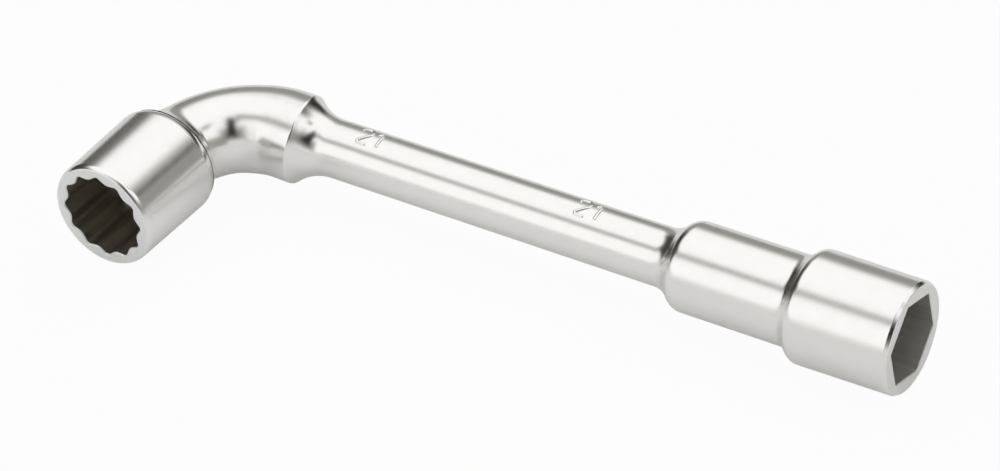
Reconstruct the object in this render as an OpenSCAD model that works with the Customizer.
// Angled socket wrench: one forged bar with a six-sided socket on its long
// straight end and a twelve-sided socket on its short head, bent at a right
// angle. The forging is modelled as its regions, which meet face to face.
// Lengths are in millimetres and angles in degrees.

/* [Nut sockets] */
// Width across the flats of the nut that both sockets fit
nut_across_flats = 21; // [17:0.5:22]
// Play between the nut and the socket walls, across the flats
nut_play = 0.2; // [0.1:0.05:0.4]
// Depth of the six-sided hole in the long end
six_hole_depth = 26; // [16:1:28]
// Depth of the twelve-sided hole in the short head
twelve_hole_depth = 18; // [12:1:22]
// How far the twelve points are cut beyond plain hexagon corners
point_relief = 0.35; // [0.1:0.05:0.5]
// Height of the bevel round the mouth of the six-sided hole
six_mouth_bevel = 0.4; // [0.2:0.1:0.8]
// Height of the bevel round the mouth of the twelve-sided hole
twelve_mouth_bevel = 0.7; // [0.3:0.1:1]
// Turn of the six-sided hole about the long arm
six_hole_turn = 14; // [0:1:60]
// Turn of the twelve-sided hole about the short head
twelve_hole_turn = 1; // [0:1:30]

/* [Bolt bores] */
// Diameter of the round bore that lets a bolt pass through the short head
head_bore_diameter = 16; // [12:0.5:17]
// Diameter of the round blind bore behind the six-sided hole
sleeve_bore_diameter = 16; // [12:0.5:17]
// Length of the blind bore, from the six-sided hole to its drill point
sleeve_bore_length = 30; // [10:1:34]

/* [Long end] */
// From the centre line of the short head to the face of the long end
long_reach = 210.4; // [200:0.2:230]
// Steel outside the corners of the six-sided hole
long_end_wall = 3; // [2.6:0.1:4]
// Length of the parallel barrel of the long end
long_end_barrel = 27; // [22:0.5:32]
// How much slimmer the barrel's radius is at its face than at its back
long_end_taper = 0.2; // [0.1:0.05:0.4]
// Radius of the hollow where the sleeve meets the long end
long_end_hollow = 3.4; // [1:0.1:5]
// Radius of the rounding at the back of the long end
long_end_round = 3.4; // [2:0.1:4.5]

/* [Sleeve and shank] */
// Diameter of the sleeve behind the long end
sleeve_diameter = 24.4; // [22:0.2:27]
// Length of the parallel part of the sleeve
sleeve_length = 29; // [24:0.2:40]
// Radius of the hollow where the shank meets the sleeve
sleeve_hollow = 6; // [2:0.1:7]
// Radius of the rounding at the back of the sleeve
sleeve_round = 4.6; // [2:0.1:6]
// Diameter of the shank
shank_diameter = 16; // [12:0.2:18]

/* [Elbow and collar] */
// Radius of the bend, at the middle of the elbow
bend_radius = 24.8; // [23:0.2:28]
// Diameter of the round elbow
elbow_diameter = 24; // [22:0.2:25]
// Diameter of the collar at the end of the elbow
collar_diameter = 25.2; // [25:0.1:27]
// Length over which the elbow swells to the collar
collar_swell_length = 1; // [1:0.1:3]
// Length of the collar's parallel crest
collar_crest_length = 0.4; // [0.2:0.1:3]
// Radius of the collar's rounded shoulder
collar_round = 2.8; // [2:0.1:5]
// Radius of the hollow where the collar meets the shank
collar_hollow = 11; // [2:0.1:14]

/* [Short head] */
// From the centre line of the long arm to the face of the short head
short_reach = 55; // [52:0.1:60]
// Steel outside the twelve points, at the face
head_wall = 2.6; // [2:0.1:3.5]
// How much wider the head's radius is at its back than at its face
head_swell = 0.5; // [0.2:0.05:0.8]
// How far past the start of the bend the head's hollow neck ends
neck_inset = 3.1; // [1.5:0.1:4.5]
// Radius of the hollow neck between the head and the elbow
neck_hollow = 2.2; // [1:0.1:3]
// Radius of the rounding at the back of the head
head_round = 3.2; // [1.5:0.1:4]

/* [Edges and slopes] */
// Radius of the rounded edge round each face
face_edge_round = 0.6; // [0.3:0.1:0.9]
// Slope of the two shoulders behind the long end
shoulder_slope = 43; // [35:1:60]
// Slope of the collar's run down to the shank
collar_slope = 36; // [25:1:50]
// Slope of the back of the short head
head_back_slope = 70; // [55:1:80]
// Slope of the drill points and of the steps into the bores
drill_slope = 31; // [25:1:45]

/* [Size figures] */
// Height of the raised figures along the shank's girth
figure_height = 5.4; // [3:0.1:6]
// Width of one raised figure
figure_width = 3.6; // [2:0.1:4]
// Space between the two figures
figure_space = 1; // [0.6:0.1:2]
// Width of the strokes that draw the figures
figure_stroke = 0.75; // [0.5:0.05:0.9]
// How far the figures stand out of the shank
figure_relief = 0.3; // [0.2:0.05:0.5]
// From the shank's end at the collar to the middle of the first figures
first_figures_inset = 14; // [10:0.1:25]
// From the shank's end at the sleeve to the middle of the second figures
second_figures_inset = 21.3; // [10:0.1:30]
// Turn of the figures about the long arm, from the top towards the bend's inside
figures_turn = 2; // [0:1:30]

/* [Hidden] */

$fn = 96;
// points along each rounding and hollow
round_steps = 8;
// how far a cutting tool runs past the face that it cuts
overrun = 1;

six_sides = 6;
twelve_points = 12;
socket_across_flats = nut_across_flats + nut_play;
flat_radius = socket_across_flats / 2;
corner_radius = flat_radius / cos(180 / six_sides);
point_radius = corner_radius + point_relief;
lobe_radius = flat_radius / cos(90 / six_sides);

// Outline of one of the twelve points: turn from the point as a share of the
// turn to the next point, for the flank's outer end and its inner end.
flank_outer_share = 0.18;
flank_inner_share = 0.4;
point_turn = 360 / twelve_points;

long_end_radius = corner_radius + long_end_wall;
head_face_radius = point_radius + head_wall;
head_radius = head_face_radius + head_swell;
sleeve_radius = sleeve_diameter / 2;
shank_radius = shank_diameter / 2;
elbow_radius = elbow_diameter / 2;
collar_radius = collar_diameter / 2;

// The neck plane cuts the elbow a little after the bend begins, where the
// elbow's middle has moved aside by this much.
neck_offset = bend_radius - neck_inset;
neck_shift = bend_radius - sqrt(pow(bend_radius, 2) - pow(neck_inset, 2));
// how far the head's neck is tucked inside the elbow's skin
neck_tuck = 0.05;
neck_radius = elbow_radius - neck_shift - neck_tuck;

// A shoulder seen from the side, as [run along the axis, radius] points: a
// hollow out of the smaller radius, a straight slope and a rounding onto the
// larger one. The two arcs shrink together where the step is too small.
function arc_fit(rise, hollow, rounding, slope) =
    min(1, rise / ((hollow + rounding) * (1 - cos(slope))));
function shoulder_run(small_r, large_r, hollow, rounding, slope) =
    let (fit = arc_fit(large_r - small_r, hollow, rounding, slope),
         arcs = fit * (hollow + rounding))
    arcs * sin(slope) + (large_r - small_r - arcs * (1 - cos(slope))) / tan(slope);
function shoulder(small_r, large_r, hollow, rounding, slope) =
    let (fit = arc_fit(large_r - small_r, hollow, rounding, slope),
         h = fit * hollow, r = fit * rounding,
         run = shoulder_run(small_r, large_r, hollow, rounding, slope))
    concat([for (i = [0 : round_steps]) let (a = slope * i / round_steps)
                [h * sin(a), small_r + h * (1 - cos(a))]],
           [for (i = [0 : round_steps]) let (a = slope * (1 - i / round_steps))
                [run - r * sin(a), large_r - r * (1 - cos(a))]]);
// The rounded edge of a face, from the barrel's skin to the flat face
function face_edge(face_at, barrel_r) =
    [for (i = [0 : round_steps]) let (a = 90 * i / round_steps)
        [face_at - face_edge_round * (1 - sin(a)), barrel_r - face_edge_round * (1 - cos(a))]];
// Shifts a shoulder along the axis, or lays it down backwards from its start
function shifted(points, by) = [for (p = points) [p[0] + by, p[1]]];
function backwards(points, from) =
    [for (i = [len(points) - 1 : -1 : 0]) [from - points[i][0], points[i][1]]];

long_end_shoulder_run =
    shoulder_run(sleeve_radius, long_end_radius, long_end_hollow, long_end_round, shoulder_slope);
sleeve_shoulder_run =
    shoulder_run(shank_radius, sleeve_radius, sleeve_hollow, sleeve_round, shoulder_slope);
collar_shoulder_run =
    shoulder_run(shank_radius, collar_radius, collar_hollow, collar_round, collar_slope);
head_shoulder_run =
    shoulder_run(neck_radius, head_radius, neck_hollow, head_round, head_back_slope);

// Places along the long arm, from the short head's centre line
long_end_back = long_reach - long_end_barrel;
sleeve_front = long_end_back - long_end_shoulder_run;
sleeve_back = sleeve_front - sleeve_length;
shank_front = sleeve_back - sleeve_shoulder_run;
collar_crest_back = bend_radius + collar_swell_length;
collar_crest_front = collar_crest_back + collar_crest_length;
shank_back = collar_crest_front + collar_shoulder_run;
six_hole_floor = long_reach - six_hole_depth;
sleeve_bore_end = six_hole_floor - sleeve_bore_length;

// Places along the short head, from the long arm's centre line
twelve_hole_floor = short_reach - twelve_hole_depth;
head_back = neck_offset + head_shoulder_run;

// The origin is the middle of the box's floor, with the wrench lying flat
widest_radius = max(head_radius, long_end_radius);
box_middle_x = (long_reach - head_radius) / 2;
box_middle_y = (long_end_radius - short_reach) / 2;

steel = [0.80, 0.80, 0.79];
light_steel = [0.87, 0.87, 0.85];
dull_steel = [0.70, 0.70, 0.69];

module in_frame() translate([-box_middle_x, -box_middle_y, widest_radius]) children();
// Both turn a shape drawn up the Z axis: onto the long arm, or down the short head
module along_arm() rotate([0, 90, 0]) children();
module along_head() rotate([90, 0, 0]) children();

// A solid of revolution from [place along the axis, radius] points
module turned(points) {
    first = points[0][0];
    last = points[len(points) - 1][0];
    rotate_extrude() polygon(concat([[0, first]], [for (p = points) [p[1], p[0]]], [[0, last]]));
}

// A round rod between two places along the axis
module rod(from, to, radius) translate([0, 0, from]) cylinder(r = radius, h = to - from);

// A cone between two places along the axis
module cone(from, to, from_radius, to_radius)
    translate([0, 0, from]) cylinder(r1 = from_radius, r2 = to_radius, h = to - from);

// Radius of a plain hexagon's side at a turn from its corner
function side_radius(turn) = flat_radius / cos(180 / six_sides - turn);
twelve_outline = [for (k = [0 : twelve_points - 1])
    for (p = [[0, point_radius],
              [flank_outer_share, side_radius(flank_outer_share * point_turn)],
              [flank_inner_share, side_radius(flank_inner_share * point_turn)],
              [1 - flank_inner_share, side_radius(flank_inner_share * point_turn)],
              [1 - flank_outer_share, side_radius(flank_outer_share * point_turn)]])
        let (a = (k + p[0]) * point_turn) [p[1] * cos(a), p[1] * sin(a)]];

module six_hole() {
    rotate([0, 0, six_hole_turn])
        translate([0, 0, six_hole_floor])
            cylinder(r = corner_radius, h = six_hole_depth + overrun, $fn = six_sides);
    cone(long_reach - six_mouth_bevel, long_reach + overrun,
         flat_radius, flat_radius + six_mouth_bevel + overrun);
}

module twelve_hole() {
    translate([0, 0, twelve_hole_floor])
        rotate([0, 0, twelve_hole_turn])
            linear_extrude(height = twelve_hole_depth + overrun) polygon(twelve_outline);
    cone(short_reach - twelve_mouth_bevel, short_reach + overrun,
         lobe_radius, lobe_radius + twelve_mouth_bevel + overrun);
}

// The step from a hole's floor down to the bore that goes on behind it
module drill_step(floor_at, hole_radius, bore_radius)
    cone(floor_at - (hole_radius - bore_radius) * tan(drill_slope), floor_at,
         bore_radius, hole_radius);

module sleeve_bore() {
    bore_radius = sleeve_bore_diameter / 2;
    rod(sleeve_bore_end, six_hole_floor + overrun, bore_radius);
    cone(sleeve_bore_end - bore_radius * tan(drill_slope), sleeve_bore_end, 0, bore_radius);
    drill_step(six_hole_floor, flat_radius, bore_radius);
}

module head_bore()
    rod(-widest_radius, twelve_hole_floor + overrun, head_bore_diameter / 2);

// A quarter ring round the middle of the bend
module bend()
    translate([bend_radius, -bend_radius, 0]) rotate([0, 0, 90])
        rotate_extrude(angle = 90) translate([bend_radius, 0]) circle(r = elbow_radius);

// Everything on the short head's side of the neck plane
module head_side()
    translate([-elbow_diameter, -neck_offset - elbow_diameter, -elbow_diameter])
        cube([2 * elbow_diameter, elbow_diameter, 2 * elbow_diameter]);

module twelve_point_head() color(light_steel) in_frame() difference() {
    union() {
        along_head() turned(concat(
            shifted(shoulder(neck_radius, head_radius, neck_hollow, head_round, head_back_slope),
                    neck_offset),
            face_edge(short_reach, head_face_radius)));
        intersection() { bend(); head_side(); }
    }
    along_head() {
        twelve_hole();
        drill_step(twelve_hole_floor, lobe_radius, head_bore_diameter / 2);
        head_bore();
    }
}

module elbow() color(steel) in_frame() difference() {
    bend();
    head_side();
    along_head() head_bore();
}

module collar() color(light_steel) in_frame() along_arm() turned(concat(
    [[bend_radius, elbow_radius], [collar_crest_back, collar_radius]],
    backwards(shoulder(shank_radius, collar_radius, collar_hollow, collar_round, collar_slope),
              shank_back)));

module shank() color(steel) in_frame() along_arm() rod(shank_back, shank_front, shank_radius);

module sleeve() color(light_steel) in_frame() along_arm() difference() {
    turned(concat(
        shifted(shoulder(shank_radius, sleeve_radius, sleeve_hollow, sleeve_round, shoulder_slope),
                shank_front),
        [[sleeve_front, sleeve_radius]]));
    sleeve_bore();
}

module six_point_socket() color(dull_steel) in_frame() along_arm() difference() {
    turned(concat(
        shifted(shoulder(sleeve_radius, long_end_radius, long_end_hollow, long_end_round,
                         shoulder_slope), sleeve_front),
        face_edge(long_reach, long_end_radius - long_end_taper)));
    six_hole();
    sleeve_bore();
}

// A straight stroke with round ends between two points
module stroke(from, to) {
    run = to - from;
    translate(from) rotate([0, 0, atan2(run[1], run[0])])
        translate([0, -figure_stroke / 2]) square([norm(run), figure_stroke]);
    translate(from) circle(d = figure_stroke);
    translate(to) circle(d = figure_stroke);
}

// Strokes of each figure from 0 to 9, as shares of its width and height
figure_shares = [
    [[0, 0], [1, 0], [1, 1], [0, 1], [0, 0]],
    [[0.2, 0.75], [0.6, 1], [0.6, 0]],
    [[0, 0.8], [0.25, 1], [0.75, 1], [1, 0.8], [1, 0.6], [0, 0], [1, 0]],
    [[0, 1], [1, 1], [0.5, 0.58], [1, 0.4], [1, 0.15], [0.75, 0], [0, 0]],
    [[0.75, 0], [0.75, 1], [0, 0.3], [1, 0.3]],
    [[1, 1], [0.1, 1], [0, 0.55], [0.75, 0.6], [1, 0.4], [1, 0.2], [0.75, 0], [0, 0]],
    [[0.9, 1], [0, 0.4], [0, 0], [1, 0], [1, 0.5], [0, 0.5]],
    [[0, 1], [1, 1], [0.3, 0]],
    [[0, 0], [1, 0], [1, 0.5], [0, 0.5], [0, 1], [1, 1], [1, 0.5], [0, 0.5], [0, 0]],
    [[0.1, 0], [1, 0.6], [1, 1], [0, 1], [0, 0.5], [1, 0.5]]];

module figure(value)
    for (i = [0 : len(figure_shares[value]) - 2])
        stroke([for (k = [0, 1]) figure_shares[value][i][k] * [figure_width, figure_height][k]],
               [for (k = [0, 1]) figure_shares[value][i + 1][k] * [figure_width, figure_height][k]]);

// The nut's size in two figures, raised out of the shank's skin
module size_figures(at) {
    size = floor(nut_across_flats);
    pair_width = 2 * figure_width + figure_space;
    intersection() {
        rotate([figures_turn, 0, 0]) translate([at - pair_width / 2, -figure_height / 2, 0])
            linear_extrude(height = shank_diameter) {
                figure(floor(size / 10));
                translate([figure_width + figure_space, 0]) figure(size % 10);
            }
        along_arm() difference() {
            rod(shank_back, shank_front, shank_radius + figure_relief);
            rod(shank_back - overrun, shank_front + overrun, shank_radius);
        }
    }
}

module size_figures_by_elbow() color(dull_steel) in_frame()
    size_figures(shank_back + first_figures_inset);
module size_figures_by_sleeve() color(dull_steel) in_frame()
    size_figures(shank_front - second_figures_inset);

twelve_point_head();
elbow();
collar();
shank();
sleeve();
six_point_socket();
size_figures_by_elbow();
size_figures_by_sleeve();
